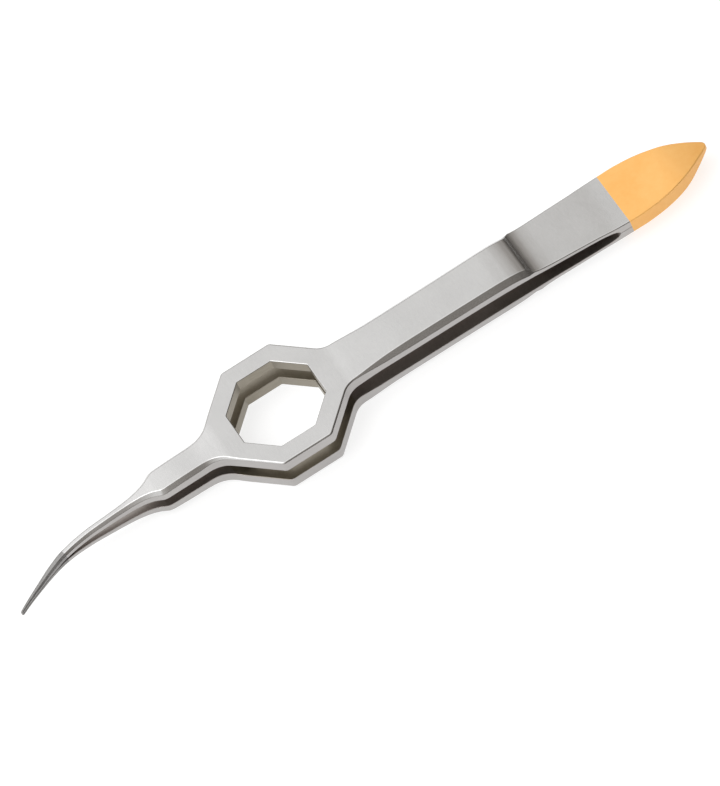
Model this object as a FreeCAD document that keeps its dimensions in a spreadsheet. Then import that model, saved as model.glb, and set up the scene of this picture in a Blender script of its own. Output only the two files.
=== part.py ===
"""Stamp tongs: two spring-steel arms welded at a gilded heel, with an octagonal finger ring in each arm.

Frame (mm): X runs along the tongs, heel at +X and points at -X. Z is up, from the lower ring's
outer face. Y = 0 is the middle line of the grips, and the fine points curve towards -Y.
Each arm is drawn above a middle plane at z = 0 and then lifted to its height. The lower arm's
pieces are the mirror images of the upper arm's.
"""
import FreeCAD
import Part
import math
import os

doc = FreeCAD.newDocument("stamp_tongs")

# Driving sizes. Lengths along the tongs are counted from the heel's point.
sizes = doc.addObject("Spreadsheet::Sheet", "sizes")
DRIVING = [
    ("overall_length", 140.0),
    ("mid_height", 3.9),
    ("gilt_length", 18.3),
    ("weld_length", 20.4),
    ("leaf_end", 36.8),
    ("riser_length", 0.75),
    ("ring_centre", 84.9),
    ("ring_outer_flats", 23.06),
    ("ring_hole_flats", 16.14),
    ("ring_top", 3.68),
    ("ring_underside", 1.4),
    ("ring_bevel", 0.25),
    ("neck_end", 108.4),
    ("neck_bevel", 0.74),
    ("heel_width", 11.8),
    ("heel_half_thickness", 1.58),
    ("weld_half_thickness", 0.1),
    ("leaf_bevel", 0.16),
    ("leaf_top", 2.23),
    ("leaf_underside", 1.28),
    ("grip_width_back", 9.82),
    ("grip_width_front", 9.12),
    ("grip_top", 3.9),
    ("grip_underside", 1.7),
    ("grinding_allowance", 0.05),
    ("grip_bevel_back", 1.02),
    ("neck_width", 5.75),
    ("neck_top", 3.34),
    ("neck_underside", 1.08),
    ("tip_width", 1.66),
    ("tip_offset", 6.28),
    ("tip_end_width", 0.5),
    ("tip_clearance", 0.04),
]
for row, (alias, value) in enumerate(DRIVING, start=1):
    sizes.set("A%d" % row, alias)
    sizes.set("B%d" % row, str(value))
    sizes.setAlias("B%d" % row, alias)
doc.recompute()


def size(alias):
    return float(sizes.get(alias))


HALF_LENGTH = size("overall_length") / 2
WELD = size("weld_half_thickness")


def section(label, x, half_width, underside, top, bevel, centre=0.0, heading=0.0):
    """One cross-section of an arm, bevelled at its two outer edges.

    centre is how far the middle of the section lies towards the curved side, and heading is the
    angle in degrees by which the section turns to follow a curving blade.
    """
    across = [
        (-half_width, underside),
        (half_width, underside),
        (half_width, top - bevel),
        (half_width - bevel, top),
        (bevel - half_width, top),
        (-half_width, top - bevel),
    ]
    turn = math.radians(heading)
    nodes = []
    for offset, height in across:
        along = x - offset * math.sin(turn)
        sideways = centre + offset * math.cos(turn)
        nodes.append(FreeCAD.Vector(HALF_LENGTH - along, -sideways, height))
    outline = doc.addObject("Part::Polygon", label)
    outline.Nodes = nodes
    outline.Close = True
    return outline


def slopes_of(places, values):
    """Slopes at each place that let a cubic run through the values without overshooting."""
    steps = [(values[i + 1] - values[i]) / (places[i + 1] - places[i]) for i in range(len(places) - 1)]
    slopes = [steps[0]]
    for before, after in zip(steps, steps[1:]):
        level = before * after <= 0
        slopes.append(0.0 if level else 2 * before * after / (before + after))
    slopes.append(steps[-1])
    return slopes


def refined(stations, spacing):
    """The given stations with smooth ones between them, no further apart than the spacing."""
    places = [station[0] for station in stations]
    columns = [[station[k] for station in stations] for k in range(1, len(stations[0]))]
    slopes = [slopes_of(places, column) for column in columns]
    result = []
    for i in range(len(places) - 1):
        span = places[i + 1] - places[i]
        parts = max(1, math.ceil(span / spacing - 1e-6))
        for j in range(parts):
            t = j / parts
            row = [places[i] + t * span]
            for column, slope in zip(columns, slopes):
                start_weight = 1 - 3 * t ** 2 + 2 * t ** 3
                row.append(
                    start_weight * column[i] + (1 - start_weight) * column[i + 1]
                    + span * (t - 2 * t ** 2 + t ** 3) * slope[i]
                    + span * (t ** 3 - t ** 2) * slope[i + 1])
            result.append(tuple(row))
    result.append(tuple(stations[-1]))
    return result


def loft(label, stations, spacing):
    """A solid that runs through the given cross-sections, with finer ones drawn between them."""
    skin = doc.addObject("Part::Loft", label)
    skin.Sections = [section("%s_section_%d" % (label, i), *station)
                     for i, station in enumerate(refined(stations, spacing))]
    skin.Solid = True
    skin.Ruled = True
    return skin


# Heel end: a pointed arch, gilded, thinner towards its point.
heel_half = size("heel_width") / 2
heel_top = size("heel_half_thickness")
heel_bevel = size("leaf_bevel")
arch = [(0.0, 0.045), (0.25, 0.105), (0.8, 0.18), (1.7, 0.285), (3.4, 0.455), (5.0, 0.60), (6.7, 0.72),
        (8.4, 0.81), (10.1, 0.885), (11.8, 0.94), (13.5, 0.975), (16.0, 1.0)]
heel_lean = 0.4


def heel_height(x):
    """The heel thickens from its point to full thickness over its first 9 mm."""
    rise = min(x / 9.0, 1.0)
    return heel_top * (0.28 + 0.72 * math.sin(rise * math.pi / 2))


def heel_offset(x):
    """The heel's point leans a little away from the side that the other end curves to."""
    left = max(0.0, 1.0 - x / 9.0)
    return -heel_lean * left ** 2


heel_stations = [(x, heel_half * share, WELD, heel_height(x), heel_bevel * min(1.0, 0.5 + x / 4.0),
                  heel_offset(x), 0.0)
                 for x, share in arch]
heel_stations.append((size("gilt_length"), heel_half * 0.995, WELD, heel_top, heel_bevel, 0.0, 0.0))
upper_heel_end = loft("upper_heel_end", heel_stations, 1.0)

# The weld between the two heel ends, a flat layer of the same outline.
weld_outline = [(s[0], s[1], s[5]) for s in refined(heel_stations, 1.0)]
weld_outline.append((size("weld_length"), heel_half * 0.985, 0.0))
weld_face = doc.addObject("Part::Polygon", "heel_weld_outline")
weld_face.Nodes = (
    [FreeCAD.Vector(HALF_LENGTH - x, -lean - y, -WELD) for x, y, lean in weld_outline]
    + [FreeCAD.Vector(HALF_LENGTH - x, y - lean, -WELD) for x, y, lean in reversed(weld_outline)]
)
weld_face.Close = True
heel_weld = doc.addObject("Part::Extrusion", "heel_weld")
heel_weld.Base = weld_face
heel_weld.DirMode = "Custom"
heel_weld.Dir = FreeCAD.Vector(0, 0, 1)
heel_weld.Solid = True
heel_weld.setExpression("LengthFwd", "2 * sizes.weld_half_thickness")

# Spring leaf: the thin flat stretch that bends when the tongs are squeezed.
leaf_top = size("leaf_top")
leaf_under = size("leaf_underside")
leaf_end = size("leaf_end")
upper_spring_leaf = loft("upper_spring_leaf", [
    (size("gilt_length"), heel_half * 0.995, WELD, heel_top, heel_bevel),
    (size("weld_length"), heel_half * 0.985, WELD, heel_top + 0.05, heel_bevel),
    (20.9, heel_half * 0.98, WELD + 0.45, heel_top + 0.08, heel_bevel),
    (22.2, heel_half * 0.965, leaf_under - 0.33, heel_top + 0.15, heel_bevel),
    (24.0, heel_half * 0.944, leaf_under - 0.16, leaf_top - 0.4, heel_bevel),
    (28.6, heel_half * 0.908, leaf_under, leaf_top - 0.18, heel_bevel),
    (33.0, heel_half * 0.873, leaf_under + 0.1, leaf_top, heel_bevel),
    (35.0, heel_half * 0.858, leaf_under + 0.18, leaf_top + 0.17, heel_bevel),
    (leaf_end, heel_half * 0.843, leaf_under + 0.27, leaf_top + 0.6, heel_bevel + 0.15),
], 1.2)

# Grip: steps up from the leaf, with wide bevels that narrow towards the ring.
grip_back = size("grip_width_back") / 2
grip_front = size("grip_width_front") / 2
grip_top = size("grip_top")
grip_under = size("grip_underside")
grinding = size("grinding_allowance")
grip_bevel = size("grip_bevel_back")
ring_bevel = size("ring_bevel")
ring_top = size("ring_top")
ring_under = size("ring_underside")
ring_centre = size("ring_centre")
ring_half = size("ring_outer_flats") / 2
corner = ring_half * math.tan(math.radians(22.5))
grip_start = leaf_end + size("riser_length")
ring_back = ring_centre - ring_half
grip = loft("upper_grip", [
    (leaf_end, heel_half * 0.843, leaf_under + 0.27, leaf_top + 0.6, heel_bevel + 0.15),
    (grip_start - 0.2, heel_half * 0.839, leaf_under + 0.28, leaf_top + 0.96, grip_bevel - 0.2),
    (grip_start, heel_half * 0.837, leaf_under + 0.29, leaf_top + 1.08, grip_bevel - 0.08),
    (38.3, heel_half * 0.833, grip_under - 0.11, grip_top - 0.38, grip_bevel),
    (40.0, grip_back - 0.05, grip_under - 0.08, grip_top - 0.13, grip_bevel),
    (41.5, grip_back - 0.08, grip_under - 0.06, grip_top - 0.05, grip_bevel),
    (45.0, grip_back - 0.15, grip_under - 0.02, grip_top + grinding, grip_bevel * 0.98),
    (50.6, grip_back - 0.21, grip_under, grip_top + grinding, grip_bevel * 0.97),
    (59.0, grip_front + 0.08, grip_under, grip_top + grinding, grip_bevel * 0.94),
    (65.0, grip_front + 0.02, grip_under, grip_top - 0.05, grip_bevel * 0.8),
    (67.5, grip_front, grip_under - 0.02, grip_top - 0.09, grip_bevel * 0.6),
    (ring_back - 2.6, grip_front, ring_under + 0.13, ring_top + 0.06, ring_bevel + 0.07),
    (ring_back - 1.4, grip_front + 0.07, ring_under + 0.06, ring_top + 0.02, ring_bevel + 0.02),
    (ring_back - 0.3, corner - 0.02, ring_under, ring_top, ring_bevel),
    (ring_back + 0.6, corner + 0.5, ring_under, ring_top, ring_bevel),
    (ring_back + 1.6, corner + 1.1, ring_under, ring_top, ring_bevel),
], 1.5)

# The grip's outer face is ground flat: the tongs lie on it.
ground_off = doc.addObject("Part::Box", "ground_off_grip")
ground_off.Length = ring_back - leaf_end - 4.0
ground_off.Width = 4 * grip_back
ground_off.Height = 2.0
ground_off.Placement.Base = FreeCAD.Vector(HALF_LENGTH - ring_back + 2.0, -2 * grip_back, grip_top)
ground_grip = doc.addObject("Part::Cut", "upper_grip_ground")
ground_grip.Base = grip
ground_grip.Tool = ground_off

# Ring: an octagonal band with its flats square to the tongs, bevelled at the outer face.
corner_ratio = 1.0 / math.cos(math.radians(22.5))


def octagon(label, flats_alias, bottom, height_expression):
    prism = doc.addObject("Part::Prism", label)
    prism.Polygon = 8
    prism.setExpression("Circumradius", "sizes.%s / 2 * %.9f" % (flats_alias, corner_ratio))
    prism.setExpression("Height", height_expression)
    prism.Placement = FreeCAD.Placement(
        FreeCAD.Vector(HALF_LENGTH - ring_centre, 0, bottom),
        FreeCAD.Rotation(FreeCAD.Vector(0, 0, 1), 22.5),
    )
    return prism


ring_plate = octagon("upper_ring_plate", "ring_outer_flats", ring_under, "sizes.ring_top - sizes.ring_underside")
ring_hole = octagon("upper_ring_hole", "ring_hole_flats", ring_under - 1.0, "sizes.ring_top - sizes.ring_underside + 2")
doc.recompute()


def outer_edges(shape, height):
    """Numbers of the straight edges that lie flat at the given height."""
    found = []
    for number, edge in enumerate(shape.Edges, start=1):
        box = edge.BoundBox
        if abs(box.ZMin - height) < 1e-6 and abs(box.ZMax - height) < 1e-6:
            found.append(number)
    return found


ring_bevelled = doc.addObject("Part::Chamfer", "upper_ring_bevelled")
ring_bevelled.Base = ring_plate
ring_bevelled.Edges = [(n, ring_bevel, ring_bevel) for n in outer_edges(ring_plate.Shape, ring_top)]

# Neck: narrow, flaring into the ring.
neck_half = size("neck_width") / 2
neck_top = size("neck_top")
neck_under = size("neck_underside")
neck_end = size("neck_end")
ring_front = ring_centre + ring_half
neck_start = ring_front + 4.5
neck_bevel = size("neck_bevel")
neck_stations = [
    (ring_front - 1.2, corner + 1.1, ring_under, ring_top, ring_bevel),
    (ring_front, corner - 0.02, ring_under - 0.06, ring_top - 0.02, ring_bevel + 0.05),
    (ring_front + 0.7, neck_half + 1.27, ring_under - 0.1, ring_top - 0.06, ring_bevel + 0.12),
    (ring_front + 1.6, neck_half + 0.68, ring_under - 0.16, ring_top - 0.12, ring_bevel + 0.2),
    (ring_front + 2.8, neck_half + 0.19, ring_under - 0.25, ring_top - 0.2, ring_bevel + 0.33),
    (neck_start, neck_half, neck_under, ring_top - 0.28, neck_bevel - 0.04),
    ((neck_start + neck_end) / 2, neck_half, neck_under - 0.04, neck_top - 0.05, neck_bevel),
]

# Point: shoulders down to a slender blade, then sweeps sideways in its own plane.
tip_half = size("tip_width") / 2
tip_end_half = size("tip_end_width") / 2
sweep = size("tip_offset")
clear = size("tip_clearance")
length = size("overall_length")
point_stations = [
    (neck_end, neck_half - 0.015, neck_under - 0.07, neck_top - 0.21, neck_bevel, 0.0, 0.0),
    (neck_end + 0.8, neck_half - 0.15, 1.0, neck_top - 0.25, 0.71, 0.0, 0.0),
    (neck_end + 1.6, tip_half + 1.47, 0.99, neck_top - 0.31, 0.68, 0.01, 0.0),
    (neck_end + 2.4, tip_half + 1.04, 0.97, neck_top - 0.4, 0.64, 0.02, 0.0),
    (neck_end + 3.4, tip_half + 0.67, 0.95, neck_top - 0.52, 0.6, 0.03, 0.0),
    (neck_end + 4.4, tip_half + 0.43, 0.93, neck_top - 0.64, 0.58, 0.03, 0.0),
    (115.0, tip_half + 0.17, 0.87, 2.45, 0.56, 0.04, 0.0),
    (118.0, tip_half + 0.05, 0.76, 2.2, 0.54, 0.04, 0.0),
    (122.0, tip_half, 0.57, 1.88, 0.5, 0.05, 1.0),
    (125.5, tip_half - 0.04, 0.36, 1.57, 0.46, 0.3, 6.0),
    (128.5, tip_half - 0.09, 0.16, 1.28, 0.42, 0.84, 14.0),
    (131.3, tip_half - 0.17, clear, 1.0, 0.38, 1.82, 21.0),
    (134.7, tip_half - 0.33, clear, 0.72, 0.3, 3.43, 26.0),
    (138.0, tip_end_half + 0.08, clear, 0.55, 0.18, 5.13, 28.0),
    (length - 0.35, tip_end_half, clear, 0.47, 0.14, sweep - 0.15, 28.0),
    (length - 0.07, tip_end_half * 0.55, clear, 0.4, 0.08, sweep, 28.0),
]
straight = (0.0, 0.0)
front = loft("upper_front", [station + straight for station in neck_stations] + point_stations, 1.3)

# One forged blade: grip, ring, neck and point are a single piece of steel.
solid_blade = doc.addObject("Part::MultiFuse", "upper_blade_solid")
solid_blade.Shapes = [ground_grip, ring_bevelled, front]
upper_blade = doc.addObject("Part::Cut", "upper_blade")
upper_blade.Base = solid_blade
upper_blade.Tool = ring_hole

NODES = {}


def lift(source):
    """Raise a finished piece so that the tongs lie on z = 0."""
    source.setExpression("Placement.Base.z", "sizes.mid_height")
    NODES[source.Name] = source


def mirror_below(source, name):
    """The lower arm's piece: the upper one reflected in the middle plane."""
    copy = doc.addObject("Part::Mirroring", name)
    copy.Source = source
    copy.Normal = FreeCAD.Vector(0, 0, 1)
    copy.setExpression("Base.z", "sizes.mid_height")
    NODES[name] = copy


for piece in (upper_heel_end, heel_weld, upper_spring_leaf, upper_blade):
    lift(piece)
for piece, name in ((upper_heel_end, "lower_heel_end"),
                    (upper_spring_leaf, "lower_spring_leaf"),
                    (upper_blade, "lower_blade")):
    mirror_below(piece, name)
doc.recompute()

LABELS = {
    "upper_heel_end": "Upper arm, gilded heel end",
    "lower_heel_end": "Lower arm, gilded heel end",
    "heel_weld": "Weld between the heel ends",
    "upper_spring_leaf": "Upper arm, spring leaf",
    "lower_spring_leaf": "Lower arm, spring leaf",
    "upper_blade": "Upper arm, grip with ring and point",
    "lower_blade": "Lower arm, grip with ring and point",
}
os.makedirs("parts", exist_ok=True)
for thing in doc.Objects:
    if "Invalid" in thing.State or "Error" in thing.State:
        raise RuntimeError("%s did not compute: %s" % (thing.Name, thing.State))
for name, thing in NODES.items():
    thing.Label = LABELS[name]
    shape = thing.Shape
    if shape.isNull() or not shape.isValid():
        raise RuntimeError("%s has no valid shape" % name)
    box = shape.BoundBox
    print("%-18s solids %d faces %3d volume %8.2f  x %.2f..%.2f y %.2f..%.2f z %.2f..%.2f" % (
        name, len(shape.Solids), len(shape.Faces), shape.Volume,
        box.XMin, box.XMax, box.YMin, box.YMax, box.ZMin, box.ZMax))
    shape.exportStep("parts/%s.step" % name)
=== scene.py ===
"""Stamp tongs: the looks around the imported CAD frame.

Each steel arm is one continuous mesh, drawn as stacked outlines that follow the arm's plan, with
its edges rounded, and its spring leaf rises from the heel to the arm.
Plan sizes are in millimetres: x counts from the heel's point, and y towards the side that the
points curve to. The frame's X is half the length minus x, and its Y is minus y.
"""
import math

import bmesh
import bpy
from mathutils import Matrix, Vector


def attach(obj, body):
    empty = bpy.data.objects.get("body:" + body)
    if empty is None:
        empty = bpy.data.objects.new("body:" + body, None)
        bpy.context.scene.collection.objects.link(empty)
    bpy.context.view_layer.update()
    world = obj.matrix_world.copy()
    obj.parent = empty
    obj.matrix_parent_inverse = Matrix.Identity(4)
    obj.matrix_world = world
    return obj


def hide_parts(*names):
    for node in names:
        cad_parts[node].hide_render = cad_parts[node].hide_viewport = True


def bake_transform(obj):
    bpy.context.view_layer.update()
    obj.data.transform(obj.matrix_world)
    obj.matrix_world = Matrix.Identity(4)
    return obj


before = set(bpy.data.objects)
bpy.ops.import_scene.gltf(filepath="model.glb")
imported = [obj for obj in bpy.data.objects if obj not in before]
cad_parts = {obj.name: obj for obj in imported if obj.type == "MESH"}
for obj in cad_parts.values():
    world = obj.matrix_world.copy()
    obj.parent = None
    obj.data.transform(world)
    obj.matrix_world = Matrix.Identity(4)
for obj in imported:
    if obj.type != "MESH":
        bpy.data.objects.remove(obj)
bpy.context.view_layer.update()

MM = 0.001
LENGTH = 140.0
HALF_LENGTH = LENGTH / 2
MID_HEIGHT = 3.9
GILT_END = 18.3
WELD_END = 20.4
LEAF_END = 37.0
RING_CENTRE = 84.9
RING_HALF = 11.53
HOLE_HALF = 8.07
NECK_BACK = 100.9
NECK_HALF = 2.875
NECK_FRONT = 109.0
GROUND_POINT = 128.3
HALF_CORNER = math.radians(22.5)
OCTAGON_CORNER = math.tan(HALF_CORNER)


# ---------------------------------------------------------------- smooth curves through stations

def curve(points):
    """A function that runs smoothly through (x, value) points and never overshoots them."""
    xs = [p[0] for p in points]
    ys = [p[1] for p in points]
    steps = [(ys[i + 1] - ys[i]) / (xs[i + 1] - xs[i]) for i in range(len(xs) - 1)]
    slopes = [steps[0]]
    for before, after in zip(steps, steps[1:]):
        slopes.append(0.0 if before * after <= 0 else 2 * before * after / (before + after))
    slopes.append(steps[-1])

    def value(x):
        if x <= xs[0]:
            return ys[0]
        if x >= xs[-1]:
            return ys[-1]
        i = 0
        while x > xs[i + 1]:
            i += 1
        span = xs[i + 1] - xs[i]
        t = (x - xs[i]) / span
        start_weight = 1 - 3 * t ** 2 + 2 * t ** 3
        return (start_weight * ys[i] + (1 - start_weight) * ys[i + 1]
                + span * (t - 2 * t ** 2 + t ** 3) * slopes[i]
                + span * (t ** 3 - t ** 2) * slopes[i + 1])

    return value


HEEL_HALF = 5.9
heel_share = [(0.0, 0.045), (0.25, 0.105), (0.8, 0.18), (1.7, 0.285), (3.4, 0.455), (5.0, 0.60),
              (6.7, 0.72), (8.4, 0.81), (10.1, 0.885), (11.8, 0.94), (13.5, 0.975), (16.0, 1.0),
              (GILT_END, 0.995)]
heel_lean = curve([(0.0, -0.4), (2.0, -0.34), (6.0, -0.1), (9.0, 0.0), (GILT_END, 0.0)])
heel_half = curve([(x, HEEL_HALF * share) for x, share in heel_share])
heel_top = curve([(0.0, 0.45), (1.0, 0.64), (3.5, 1.09), (7.0, 1.51), (9.0, 1.58), (GILT_END, 1.58)])
heel_bevel = curve([(0.0, 0.08), (2.0, 0.16), (GILT_END, 0.16)])

grip_half = curve([(GILT_END, 5.87), (WELD_END, 5.81), (22.2, 5.7), (24.0, 5.57), (28.6, 5.36),
                   (33.7, 5.12), (37.7, 4.94), (40.0, 4.86), (45.0, 4.76), (50.6, 4.7), (59.0, 4.64),
                   (67.5, 4.56), (76.0, 4.56)])
front_half = curve([(NECK_BACK, NECK_HALF), (108.4, 2.86), (109.2, 2.72), (110.0, 2.3), (110.8, 1.87),
                    (111.8, 1.5), (112.8, 1.26), (115.0, 1.0), (118.0, 0.88), (122.0, 0.83),
                    (125.5, 0.79), (128.5, 0.74), (131.3, 0.66), (134.7, 0.5), (138.0, 0.33),
                    (139.75, 0.25)])
front_centre = curve([(NECK_BACK, 0.0), (NECK_FRONT, 0.0), (112.8, 0.03), (122.0, 0.05), (125.5, 0.3),
                      (128.5, 0.84), (131.3, 1.82), (134.7, 3.43), (138.0, 5.13), (139.75, 6.15)])

arm_top = curve([(GILT_END, 1.58), (WELD_END, 1.64), (24.0, 1.83), (28.6, 2.05), (33.0, 2.23),
                 (34.0, 2.3), (35.0, 2.4), (36.0, 2.58), (36.75, 2.8), (36.98, 2.92),
                 (37.2, 3.08), (37.42, 3.24), (37.65, 3.36), (38.3, 3.52), (39.0, 3.65),
                 (40.0, 3.77), (41.0, 3.84), (43.5, 3.9), (59.0, 3.9), (67.5, 3.81),
                 (71.0, 3.74), (73.2, 3.68), (96.4, 3.66), (98.0, 3.57), (100.9, 3.4),
                 (105.2, 3.29), (109.5, 3.07), (111.2, 2.88), (115.0, 2.45), (118.0, 2.2),
                 (122.0, 1.88), (125.5, 1.57), (128.5, 1.28), (131.3, 1.0), (134.7, 0.72),
                 (138.0, 0.55), (139.6, 0.47), (139.93, 0.4)])
arm_under = curve([(GILT_END, 0.0), (WELD_END, 0.0), (20.55, 0.2), (20.9, 0.55), (22.2, 0.95),
                   (24.0, 1.12), (28.6, 1.28), (33.0, 1.38), (35.0, 1.46), (36.8, 1.55),
                   (40.0, 1.62), (45.0, 1.68), (50.6, 1.7), (67.5, 1.7), (71.0, 1.52),
                   (73.2, 1.4), (95.0, 1.4), (96.4, 1.34), (99.0, 1.16), (100.9, 1.08),
                   (105.2, 1.04), (109.5, 1.0), (112.8, 0.93), (115.0, 0.87), (118.0, 0.76),
                   (122.0, 0.57), (125.5, 0.36), (128.5, 0.16), (131.3, 0.04), (139.93, 0.04)])
arm_bevel = curve([(GILT_END, 0.16), (36.4, 0.16), (36.9, 0.4), (37.6, 0.95), (38.6, 1.02),
                   (45.0, 1.0), (59.0, 0.96), (65.0, 0.82), (69.0, 0.5), (71.0, 0.32),
                   (73.2, 0.25), (95.0, 0.25), (98.5, 0.5), (102.0, 0.74), (108.4, 0.74),
                   (110.4, 0.66), (112.8, 0.58), (118.0, 0.54), (125.5, 0.46), (131.3, 0.38),
                   (134.7, 0.3), (138.0, 0.2), (139.93, 0.15)])


# ---------------------------------------------------------------- plan outlines

POINT_START = 112.0
POINT_END = 139.55
GRIP_FILLET = 3.6
RING_FILLET = 1.1
HOLE_FILLET = 0.35
NECK_FILLET = 5.2
HEEL_CAP = 0.12


def steps_between(a, b, spacing):
    """Even steps from a to b, both ends included."""
    count = max(1, round((b - a) / spacing))
    return [a + (b - a) * i / count for i in range(count + 1)]


def rounded(before, corner, after, radius, count=6):
    """The arc of that radius that takes a sharp corner away."""
    a = (Vector(before) - Vector(corner)).normalized()
    b = (Vector(after) - Vector(corner)).normalized()
    half_angle = math.acos(max(-1.0, min(1.0, a.dot(b)))) / 2
    reach = radius / math.tan(half_angle)
    middle = Vector(corner) + (a + b).normalized() * (radius / math.sin(half_angle))
    start = Vector(corner) + a * reach - middle
    end = Vector(corner) + b * reach - middle
    arc = []
    for i in range(count + 1):
        t = i / count
        mixed = start * math.sin((1 - t) * start.angle(end)) + end * math.sin(t * start.angle(end))
        arc.append(tuple(middle + mixed.normalized() * radius))
    return arc


def straight(a, b, spacing=0.8):
    """Points inside the stretch from a to b, without its ends."""
    a, b = Vector(a), Vector(b)
    count = max(1, round((b - a).length / spacing))
    return [tuple(a.lerp(b, i / count)) for i in range(1, count)]


def arm_side():
    """One side of an arm's outline with no sideways curve, from the gilding line to the point."""
    corner = RING_HALF * OCTAGON_CORNER
    back = RING_CENTRE - RING_HALF
    front = RING_CENTRE + RING_HALF
    meet = back + (grip_half(back) - corner)
    step_start = LEAF_END - 0.6
    step_end = LEAF_END + 1.6
    xs = steps_between(GILT_END, step_start, 0.5)
    xs += steps_between(step_start, step_end, 0.06)[1:]
    xs += steps_between(step_end, meet - 1.7, 0.8)[1:]
    side = [(x, grip_half(x)) for x in xs]
    side += rounded((60, grip_half(back)), (meet, grip_half(back)), (back + 10, corner + 10),
                    GRIP_FILLET, 10)
    high_back = (RING_CENTRE - corner, RING_HALF)
    high_front = (RING_CENTRE + corner, RING_HALF)
    low_front = (front, corner)
    turn = rounded((back, corner), high_back, high_front, RING_FILLET)
    side += straight(side[-1], turn[0]) + turn
    turn = rounded(high_back, high_front, low_front, RING_FILLET)
    side += straight(side[-1], turn[0]) + turn
    neck_corner = (front + corner - NECK_HALF, NECK_HALF)
    neck_start = (NECK_BACK, NECK_HALF)
    turn = rounded(high_front, neck_corner, (NECK_FRONT, NECK_HALF), NECK_FILLET, 12)
    side += straight(side[-1], turn[0]) + turn
    side += straight(side[-1], neck_start) + [neck_start]
    xs = steps_between(NECK_BACK, NECK_FRONT, 0.6)[1:]
    xs += steps_between(NECK_FRONT, POINT_START, 0.12)[1:]
    xs += steps_between(POINT_START, POINT_END, 0.35)[1:]
    side += [(x, front_half(x)) for x in xs]
    return side


def arm_outline():
    """The whole open outline: near side forwards, round the point, far side back."""
    side = arm_side()
    near = []
    far = []
    for x, half in side:
        slope = 0.0
        middle = 0.0
        if x > NECK_BACK:
            middle = front_centre(x)
            slope = math.atan2(front_centre(x + 0.05) - front_centre(x - 0.05), 0.1)
        near.append((x - half * math.sin(slope), middle + half * math.cos(slope)))
        far.append((x + half * math.sin(slope), middle - half * math.cos(slope)))
    a = Vector(near[-1])
    b = Vector(far[-1])
    middle = (a + b) / 2
    radius = (a - b).length / 2
    start = math.atan2(a.y - middle.y, a.x - middle.x)
    cap = []
    for i in range(1, 10):
        angle = start - math.pi * i / 10
        cap.append((middle.x + radius * math.cos(angle), middle.y + radius * math.sin(angle)))
    return near + cap + far[::-1]


def hole_outline():
    """The octagonal hole, closed, run the other way round so that its walls face inwards."""
    radius = HOLE_HALF / math.cos(HALF_CORNER)
    corners = []
    for i in range(8):
        angle = HALF_CORNER * (1 + 2 * i)
        corners.append((RING_CENTRE + radius * math.cos(angle), radius * math.sin(angle)))
    loop = []
    for i in range(8):
        turn = rounded(corners[i - 1], corners[i], corners[(i + 1) % 8], HOLE_FILLET, 5)
        if loop:
            loop += straight(loop[-1], turn[0])
        loop += turn
    return loop + straight(loop[-1], loop[0])


def heel_outline():
    """The gilded heel's open outline, from the gilding line round the point and back."""
    xs = steps_between(HEEL_CAP, 1.0, 0.08) + steps_between(1.0, GILT_END, 0.35)[1:]
    near = [(x, heel_lean(x) + heel_half(x)) for x in xs]
    far = [(x, heel_lean(x) - heel_half(x)) for x in reversed(xs)]
    half = heel_half(xs[0])
    cap = []
    for i in range(1, 8):
        angle = math.pi * i / 8
        cap.append((HEEL_CAP - HEEL_CAP * math.sin(angle), heel_lean(0) - half * math.cos(angle)))
    return far + cap + near


# ---------------------------------------------------------------- stacked outlines

UNDER_ANGLES = [-90, -60, -30, 0]
SHOULDER_ANGLES = [0, 15, 30, 45]
BROW_ANGLES = [45, 60, 75, 90]
UNDER_RADIUS = 0.1
EDGE_RADIUS = 0.25
EDGE_SHARE = 1.2
HOLE_BEVEL = 0.1
LEAST_BEVEL = 0.02
FOLD_SHARE = 0.02
SPREAD_SHARE = 0.1
SLOPE_STEP = 0.02


def rows(bevel, both_sides):
    """The wall's profile from the underside to the top: (inset, anchor, rise, facing angle).

    anchor says which height the rise is counted from: the underside or the top.
    """
    radius = min(EDGE_RADIUS, EDGE_SHARE * bevel)
    reach = radius * OCTAGON_CORNER
    upper = []
    for degrees in SHOULDER_ANGLES:
        angle = math.radians(degrees)
        upper.append((radius - radius * math.cos(angle), "top",
                      -bevel - reach + radius * math.sin(angle), degrees))
    for degrees in BROW_ANGLES:
        angle = math.radians(degrees)
        upper.append((bevel + reach - radius * math.cos(angle), "top",
                      -radius + radius * math.sin(angle), degrees))
    if both_sides:
        lower = [(inset, "under", -rise, -degrees) for inset, _, rise, degrees in reversed(upper)]
        return lower + upper
    lower = []
    for degrees in UNDER_ANGLES:
        angle = math.radians(degrees)
        lower.append((UNDER_RADIUS - UNDER_RADIUS * math.cos(angle), "under",
                      UNDER_RADIUS + UNDER_RADIUS * math.sin(angle), degrees))
    return lower + upper


def facings(loop, closed):
    """The outward direction at each point of an outline that has its solid on the right."""
    result = []
    last = len(loop) - 1
    for i in range(len(loop)):
        if closed:
            a, b = loop[i - 1], loop[(i + 1) % len(loop)]
        else:
            a, b = loop[max(0, i - 1)], loop[min(last, i + 1)]
        along = Vector((b[0] - a[0], b[1] - a[1])).normalized()
        result.append(Vector((-along.y, along.x)))
    if not closed:
        result[0] = Vector((0, 1)) if result[0].y > 0 else Vector((0, -1))
        result[-1] = -result[0]
    return result


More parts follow.
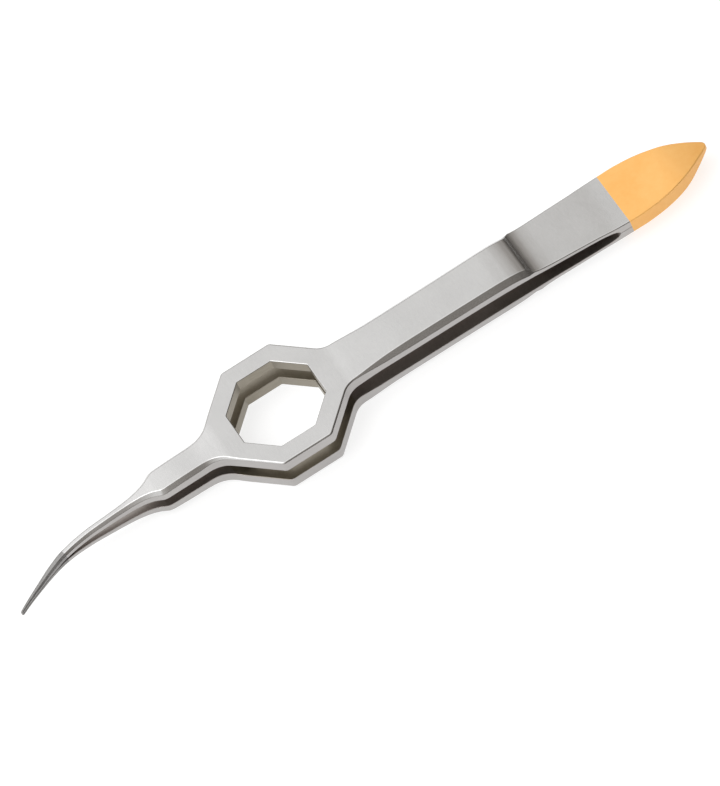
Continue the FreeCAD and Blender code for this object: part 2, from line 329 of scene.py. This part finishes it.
def inset_loop(loop, normals, distances, closed):
    """The outline moved inwards, with the folds of tight corners closed up."""
    moved = [Vector(p) - n * d for p, n, d in zip(loop, normals, distances)]
    count = len(loop)
    span = count if closed else count - 1
    folded = []
    for i in range(span):
        j = (i + 1) % count
        before = Vector(loop[j]) - Vector(loop[i])
        if (moved[j] - moved[i]).dot(before) <= FOLD_SHARE * before.length_squared:
            folded.append(i)
    i = 0
    while i < len(folded):
        run = [folded[i]]
        while i + 1 < len(folded) and folded[i + 1] == run[-1] + 1:
            i += 1
            run.append(folded[i])
        members = run + [(run[-1] + 1) % count]
        middle = sum((moved[m] for m in members), Vector((0, 0))) / len(members)
        spread = Vector((0, 0))
        if members[-1] + 1 < count:
            spread = moved[members[-1] + 1] - moved[members[0] - 1]
        for order, m in enumerate(members):
            share = (order + 1) / (len(members) + 1) - 0.5
            moved[m] = middle + spread * SPREAD_SHARE * share
        i += 1
    return moved


def build(name, outline, hole, top, under, bevel, both_sides, cuts):
    """A flat blade from its open outline and hole.

    The mesh is first stacked with its row number as height, then cut across at the given stations,
    then given its real heights and normals.
    """
    bm = bmesh.new()
    facing_x = bm.verts.layers.float.new("facing_x")
    facing_y = bm.verts.layers.float.new("facing_y")
    bevel_at = bm.verts.layers.float.new("bevel_at")
    stacks = []
    row_count = len(rows(HOLE_BEVEL, both_sides))
    for loop, closed, bevel_of in ((outline, False, bevel), (hole, True, lambda x: HOLE_BEVEL)):
        if not loop:
            continue
        normals = facings(loop, closed)
        widths = [bevel_of(p[0]) for p in loop]
        stack = []
        for k in range(row_count):
            insets = [rows(w, both_sides)[k][0] for w in widths]
            ring = []
            for p, n, w in zip(inset_loop(loop, normals, insets, closed), normals, widths):
                v = bm.verts.new((p.x, p.y, k))
                v[facing_x] = n.x
                v[facing_y] = n.y
                v[bevel_at] = w
                ring.append(v)
            stack.append(ring)
        length = len(loop) if closed else len(loop) - 1
        for low, high in zip(stack, stack[1:]):
            for i in range(length):
                j = (i + 1) % len(loop)
                bm.faces.new((low[j], low[i], high[i], high[j]))
        stacks.append((stack, closed))
    first = stacks[0][0]
    bm.faces.new([ring[0] for ring in first] + [ring[-1] for ring in reversed(first)])
    for k in (0, -1):
        edges = []
        for stack, closed in stacks:
            ring = stack[k]
            pairs = list(zip(ring, ring[1:])) + [(ring[-1], ring[0])]
            for a, b in pairs:
                edges.append(bm.edges.get((a, b)) or bm.edges.new((a, b)))
        bmesh.ops.triangle_fill(bm, use_beauty=True, use_dissolve=False, edges=edges,
                                normal=(0, 0, 1 if k else -1))
    for x in cuts:
        geometry = bm.verts[:] + bm.edges[:] + bm.faces[:]
        bmesh.ops.bisect_plane(bm, geom=geometry, dist=1e-5, plane_co=(x, 0, 0), plane_no=(1, 0, 0))
    bmesh.ops.triangulate(bm, faces=[f for f in bm.faces if len(f.verts) > 4])

    heights = []
    normals = []
    for v in bm.verts:
        profile = rows(max(v[bevel_at], LEAST_BEVEL), both_sides)
        low = min(int(v.co.z + 1e-6), len(profile) - 2)
        part = v.co.z - low
        x = v.co.x
        ends = []
        for _, anchor, rise, _ in profile[low:low + 2]:
            ends.append((top(x) if anchor == "top" else under(x)) + rise)
        heights.append(ends[0] * (1 - part) + ends[1] * part)
        angle = math.radians(profile[low][3] * (1 - part) + profile[low + 1][3] * part)
        side = Vector((v[facing_x], v[facing_y], 0))
        side = side.normalized() if side.length > 1e-6 else side
        normal = side * math.cos(angle) + Vector((0, 0, math.sin(angle)))
        surface = top if angle >= 0 else under
        slope = (surface(x + SLOPE_STEP) - surface(x - SLOPE_STEP)) / (2 * SLOPE_STEP)
        normal.x -= slope * normal.z
        normals.append(normal.normalized())
    for v, height in zip(bm.verts, heights):
        v.co.z = height
    bmesh.ops.recalc_face_normals(bm, faces=bm.faces)
    bm.verts.index_update()
    mesh = bpy.data.meshes.new(name)
    bm.to_mesh(mesh)
    bm.free()
    return mesh, normals


# The arms' material slots. The inner, punched and edge ones are darker partly as painted shade.
SATIN, INNER_SHADE, PUNCHED_SHADE, EDGE_SHADE, POINT = range(5)
INNER_FACING = -0.6
WALL_FACING = 0.5
RING_REACH = RING_HALF * 1.06
HOLE_REACH = HOLE_HALF * 1.09


def finish_of(polygon, sign):
    """Which of an arm's finishes a face has, by the way it faces and its place along the arm. The
    faces between the arms, round the ring's hole and on the side walls get darker colours that are
    partly painted shade.
    """
    x = polygon.center.x / MM
    from_ring = math.hypot(x - (HALF_LENGTH - RING_CENTRE), polygon.center.y / MM)
    if polygon.normal.z * sign < INNER_FACING:
        return PUNCHED_SHADE if from_ring < RING_REACH else INNER_SHADE
    is_wall = abs(polygon.normal.z) < WALL_FACING
    if is_wall and from_ring < HOLE_REACH:
        return PUNCHED_SHADE
    if x < HALF_LENGTH - GROUND_POINT:
        return POINT
    return EDGE_SHADE if is_wall else SATIN


def place(name, mesh, normals, sign, materials):
    """Puts a blade into the frame; sign -1 mirrors it in the middle plane.

    The flat end at the gilding line keeps its own straight normals and the first material.
    """
    mesh.transform(Matrix(((-MM, 0, 0, HALF_LENGTH * MM), (0, -MM, 0, 0),
                           (0, 0, sign * MM, MID_HEIGHT * MM), (0, 0, 0, 1))))
    if sign < 0:
        mesh.flip_normals()
    turned = [Vector((-n.x, -n.y, sign * n.z)) for n in normals]
    for polygon in mesh.polygons:
        polygon.use_smooth = True
    corner_normals = []
    for polygon in mesh.polygons:
        flat_end = abs(polygon.normal.x) > 0.99 and all(
            abs(mesh.vertices[i].co.x - (HALF_LENGTH - GILT_END) * MM) < 1e-7
            for i in polygon.vertices)
        for i in polygon.vertices:
            chosen = polygon.normal if flat_end else turned[i]
            corner_normals.append(tuple(chosen))
        if len(materials) > 1 and not flat_end:
            polygon.material_index = finish_of(polygon, sign)
    for material in materials:
        mesh.materials.append(material)
    mesh.normals_split_custom_set(corner_normals)
    obj = bpy.data.objects.new(name, mesh)
    bpy.context.scene.collection.objects.link(obj)
    return obj


# ---------------------------------------------------------------- materials

MARKS_LOW = 0.35
MARKS_HIGH = 0.65
MARKS_SHARE = 0.5
SHALLOW = 0.0000003


def node_material(name, base, metallic, roughness):
    """A material whose colour, metalness and roughness are the same everywhere."""
    material = bpy.data.materials.new(name)
    material.use_nodes = True
    shader = material.node_tree.nodes["Principled BSDF"]
    shader.inputs["Base Color"].default_value = (*base, 1)
    shader.inputs["Metallic"].default_value = metallic
    shader.inputs["Roughness"].default_value = roughness
    return material, shader


def ground_finish(material, shader, dark, light, low, high, grain, depth):
    """Fine grinding marks: they vary the colour, the gloss and the relief by a small amount."""
    tree = material.node_tree
    position = tree.nodes.new("ShaderNodeTexCoord")
    mapping = tree.nodes.new("ShaderNodeMapping")
    mapping.inputs["Scale"].default_value = grain
    tree.links.new(position.outputs["Object"], mapping.inputs["Vector"])
    marks = tree.nodes.new("ShaderNodeTexNoise")
    marks.inputs["Scale"].default_value = 1000.0
    marks.inputs["Detail"].default_value = 4.0
    marks.inputs["Roughness"].default_value = 0.6
    tree.links.new(mapping.outputs["Vector"], marks.inputs["Vector"])
    clouds = tree.nodes.new("ShaderNodeTexNoise")
    clouds.inputs["Scale"].default_value = 140.0
    clouds.inputs["Detail"].default_value = 2.0
    tree.links.new(position.outputs["Object"], clouds.inputs["Vector"])
    mixed = tree.nodes.new("ShaderNodeMath")
    mixed.operation = "MULTIPLY_ADD"
    mixed.inputs[1].default_value = MARKS_SHARE
    tree.links.new(marks.outputs["Fac"], mixed.inputs[0])
    half = tree.nodes.new("ShaderNodeMath")
    half.operation = "MULTIPLY"
    half.inputs[1].default_value = 1 - MARKS_SHARE
    tree.links.new(clouds.outputs["Fac"], half.inputs[0])
    tree.links.new(half.outputs[0], mixed.inputs[2])
    tint = tree.nodes.new("ShaderNodeValToRGB")
    tint.color_ramp.elements[0].position = MARKS_LOW
    tint.color_ramp.elements[0].color = (*dark, 1)
    tint.color_ramp.elements[1].position = MARKS_HIGH
    tint.color_ramp.elements[1].color = (*light, 1)
    tree.links.new(mixed.outputs[0], tint.inputs["Fac"])
    tree.links.new(tint.outputs["Color"], shader.inputs["Base Color"])
    gloss = tree.nodes.new("ShaderNodeMapRange")
    gloss.inputs["From Min"].default_value = MARKS_LOW
    gloss.inputs["From Max"].default_value = MARKS_HIGH
    gloss.inputs["To Min"].default_value = low
    gloss.inputs["To Max"].default_value = high
    tree.links.new(mixed.outputs[0], gloss.inputs["Value"])
    tree.links.new(gloss.outputs["Result"], shader.inputs["Roughness"])
    bump = tree.nodes.new("ShaderNodeBump")
    bump.inputs["Strength"].default_value = 1.0
    bump.inputs["Distance"].default_value = depth
    tree.links.new(marks.outputs["Fac"], bump.inputs["Height"])
    tree.links.new(bump.outputs["Normal"], shader.inputs["Normal"])


steel, steel_shader = node_material("satin steel", (0.58, 0.575, 0.57), 1.0, 0.26)
ground_finish(steel, steel_shader, (0.555, 0.55, 0.545), (0.605, 0.60, 0.595), 0.20, 0.26,
              (4.0, 0.8, 4.0), SHALLOW)
# Darker, duller steel for the faces between the arms: partly unpolished steel, partly painted shade
# where the two arms shade each other.
inner_shade_steel, inner_shade_shader = node_material("inner steel with painted shade", (0.4, 0.37, 0.35), 1.0, 0.35)
ground_finish(inner_shade_steel, inner_shade_shader, (0.34, 0.31, 0.29), (0.4, 0.37, 0.35), 0.3, 0.4,
              (4.0, 0.8, 4.0), SHALLOW)
# Dark brown steel for the hole's walls and for the faces between the arms round the ring. The rougher
# punched finish is real, but the dark brown colour is painted shade and a painted brown reflection.
punched_shade_steel, punched_shade_shader = node_material("punched steel with painted shade", (0.3, 0.27, 0.22), 1.0, 0.35)
ground_finish(punched_shade_steel, punched_shade_shader, (0.26, 0.235, 0.19), (0.34, 0.31, 0.26), 0.3, 0.4,
              (0.8, 0.8, 4.0), SHALLOW)
# Darker steel on the side walls. The rougher ground edge is real, but the darker colour is also
# painted shade, standing in for the shaded floor that the walls reflect.
edge_shade_steel, edge_shade_shader = node_material("ground edge steel with painted shade", (0.44, 0.425, 0.415), 1.0, 0.33)
ground_finish(edge_shade_steel, edge_shade_shader, (0.41, 0.395, 0.385), (0.47, 0.455, 0.445), 0.28, 0.38,
              (0.8, 0.8, 4.0), 0.0000005)
point_steel, point_shader = node_material("ground point steel", (0.30, 0.295, 0.29), 1.0, 0.5)
ground_finish(point_steel, point_shader, (0.25, 0.245, 0.24), (0.36, 0.355, 0.35), 0.42, 0.55,
              (3.0, 0.8, 3.0), 0.0000008)
gold, gold_shader = node_material("satin gold plate", (1.0, 0.54, 0.15), 0.3, 0.45)
ground_finish(gold, gold_shader, (0.97, 0.50, 0.135), (1.0, 0.56, 0.18), 0.4, 0.5,
              (1.0, 1.0, 1.0), SHALLOW)

# ---------------------------------------------------------------- the pieces

# The stations where an arm is cut across lie closest together where its height changes fastest.
arm_cuts = steps_between(GILT_END, WELD_END, 0.9)[1:] + steps_between(WELD_END, 24.0, 0.2)[1:]
arm_cuts += steps_between(24.0, 35.0, 0.8)[1:] + steps_between(35.0, 36.5, 0.25)[1:]
arm_cuts += steps_between(36.5, 38.6, 0.07)[1:] + steps_between(38.6, 43.0, 0.5)[1:]
arm_cuts += steps_between(43.0, 96.0, 1.5)[1:] + steps_between(96.0, 139.4, 0.8)[1:]
outline = arm_outline()
hole = hole_outline()
for name, sign, blade, leaf, body in (
        ("upper_arm_steel", 1, "upper_blade", "upper_spring_leaf", "upper_arm"),
        ("lower_arm_steel", -1, "lower_blade", "lower_spring_leaf", "lower_arm")):
    mesh, normals = build(name, outline, hole, arm_top, arm_under, arm_bevel, False, arm_cuts)
    arm = place(name, mesh, normals, sign, [steel, inner_shade_steel, punched_shade_steel, edge_shade_steel,
                                            point_steel])
    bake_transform(arm)
    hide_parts(blade, leaf)

heel_cuts = steps_between(0.3, GILT_END, 0.6)[:-1]
mesh, normals = build("gilded_heel", heel_outline(), [], heel_top, lambda x: -heel_top(x),
                      heel_bevel, True, heel_cuts)
heel = place("gilded_heel", mesh, normals, 1, [gold])
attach(heel, "heel")
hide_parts("upper_heel_end", "lower_heel_end", "heel_weld")

# ---------------------------------------------------------------- floor, light, camera

floor_mesh = bpy.data.meshes.new("floor")
FLOOR_HALF = 3.0
floor_mesh.from_pydata([(-FLOOR_HALF, -FLOOR_HALF, 0), (FLOOR_HALF, -FLOOR_HALF, 0),
                        (FLOOR_HALF, FLOOR_HALF, 0), (-FLOOR_HALF, FLOOR_HALF, 0)],
                       [], [(0, 1, 2, 3)])
floor = bpy.data.objects.new("floor", floor_mesh)
bpy.context.scene.collection.objects.link(floor)
FLOOR_GREY = 0.35
FLOOR_GLOW = 0.75
paper, paper_shader = node_material("white floor", (FLOOR_GREY, FLOOR_GREY, FLOOR_GREY), 0.0, 0.9)
paper_shader.inputs["Specular IOR Level"].default_value = 0.1
paper_shader.inputs["Emission Color"].default_value = (1, 1, 1, 1)
paper_shader.inputs["Emission Strength"].default_value = FLOOR_GLOW
floor_mesh.materials.append(paper)

# What the steel reflects is a soft studio dome: brightest above the points, even overhead, and
# dimmer towards the heel and low down. A colour above 1 is brighter than white paper.
BRIGHTEST_TOWARDS = Vector((-0.5, 0.12, 0.857)).normalized()
DOME_STOPS = [
    (0.0, (0.12, 0.11, 0.10)),
    (0.20, (0.15, 0.14, 0.13)),
    (0.37, (0.23, 0.21, 0.19)),
    (0.49, (0.54, 0.51, 0.48)),
    (0.67, (0.91, 0.905, 0.89)),
    (0.722, (1.09, 1.09, 1.09)),
    (0.79, (1.30, 1.30, 1.30)),
    (0.88, (1.30, 1.30, 1.30)),
    (0.94, (3.0, 3.0, 3.0)),
]
world = bpy.data.worlds.new("studio")
bpy.context.scene.world = world
world.use_nodes = True
tree = world.node_tree
backdrop = tree.nodes["Background"]
direction = tree.nodes.new("ShaderNodeTexCoord")
brightest = tree.nodes.new("ShaderNodeVectorMath")
brightest.operation = "DOT_PRODUCT"
brightest.inputs[1].default_value = tuple(BRIGHTEST_TOWARDS)
tree.links.new(direction.outputs["Generated"], brightest.inputs[0])
dome = tree.nodes.new("ShaderNodeValToRGB")
while len(dome.color_ramp.elements) < len(DOME_STOPS):
    dome.color_ramp.elements.new(0.5)
for stop, (position, colour) in zip(dome.color_ramp.elements, DOME_STOPS):
    stop.position = position
    stop.color = (*colour, 1)
tree.links.new(brightest.outputs["Value"], dome.inputs["Fac"])
tree.links.new(dome.outputs["Color"], backdrop.inputs["Color"])
backdrop.inputs["Strength"].default_value = 1.0

# The camera looks down on the tongs, a little from the point's side, and is rolled so that the
# heel stands at the upper right. The view's height and the aim's offset are in millimetres.
AZIMUTH = math.radians(7.38)
ELEVATION = math.radians(53.56)
ROLL = math.radians(-26.36)
VIEW_HEIGHT = 132.1
AIM_RIGHT = 0.571
AIM_DOWN = 4.269
DISTANCE = 1.6
SENSOR = 36.0
back = Vector((-math.sin(AZIMUTH) * math.cos(ELEVATION), -math.cos(AZIMUTH) * math.cos(ELEVATION),
               math.sin(ELEVATION)))
level_right = Vector((0, 0, 1)).cross(back).normalized()
level_up = back.cross(level_right)
right = level_right * math.cos(ROLL) + level_up * math.sin(ROLL)
up = level_up * math.cos(ROLL) - level_right * math.sin(ROLL)
aim = Vector((0, 0, MID_HEIGHT * MM))
aim += right * AIM_RIGHT * MM - up * AIM_DOWN * MM
camera_data = bpy.data.cameras.new("camera")
camera_data.sensor_width = SENSOR
camera_data.lens = SENSOR * DISTANCE / (VIEW_HEIGHT * MM)
camera = bpy.data.objects.new("camera", camera_data)
camera.matrix_world = Matrix((
    (right.x, up.x, back.x, aim.x + back.x * DISTANCE),
    (right.y, up.y, back.y, aim.y + back.y * DISTANCE),
    (right.z, up.z, back.z, aim.z + back.z * DISTANCE),
    (0, 0, 0, 1)))
bpy.context.scene.collection.objects.link(camera)
bpy.context.scene.camera = camera
bpy.context.scene.view_settings.view_transform = "Standard"
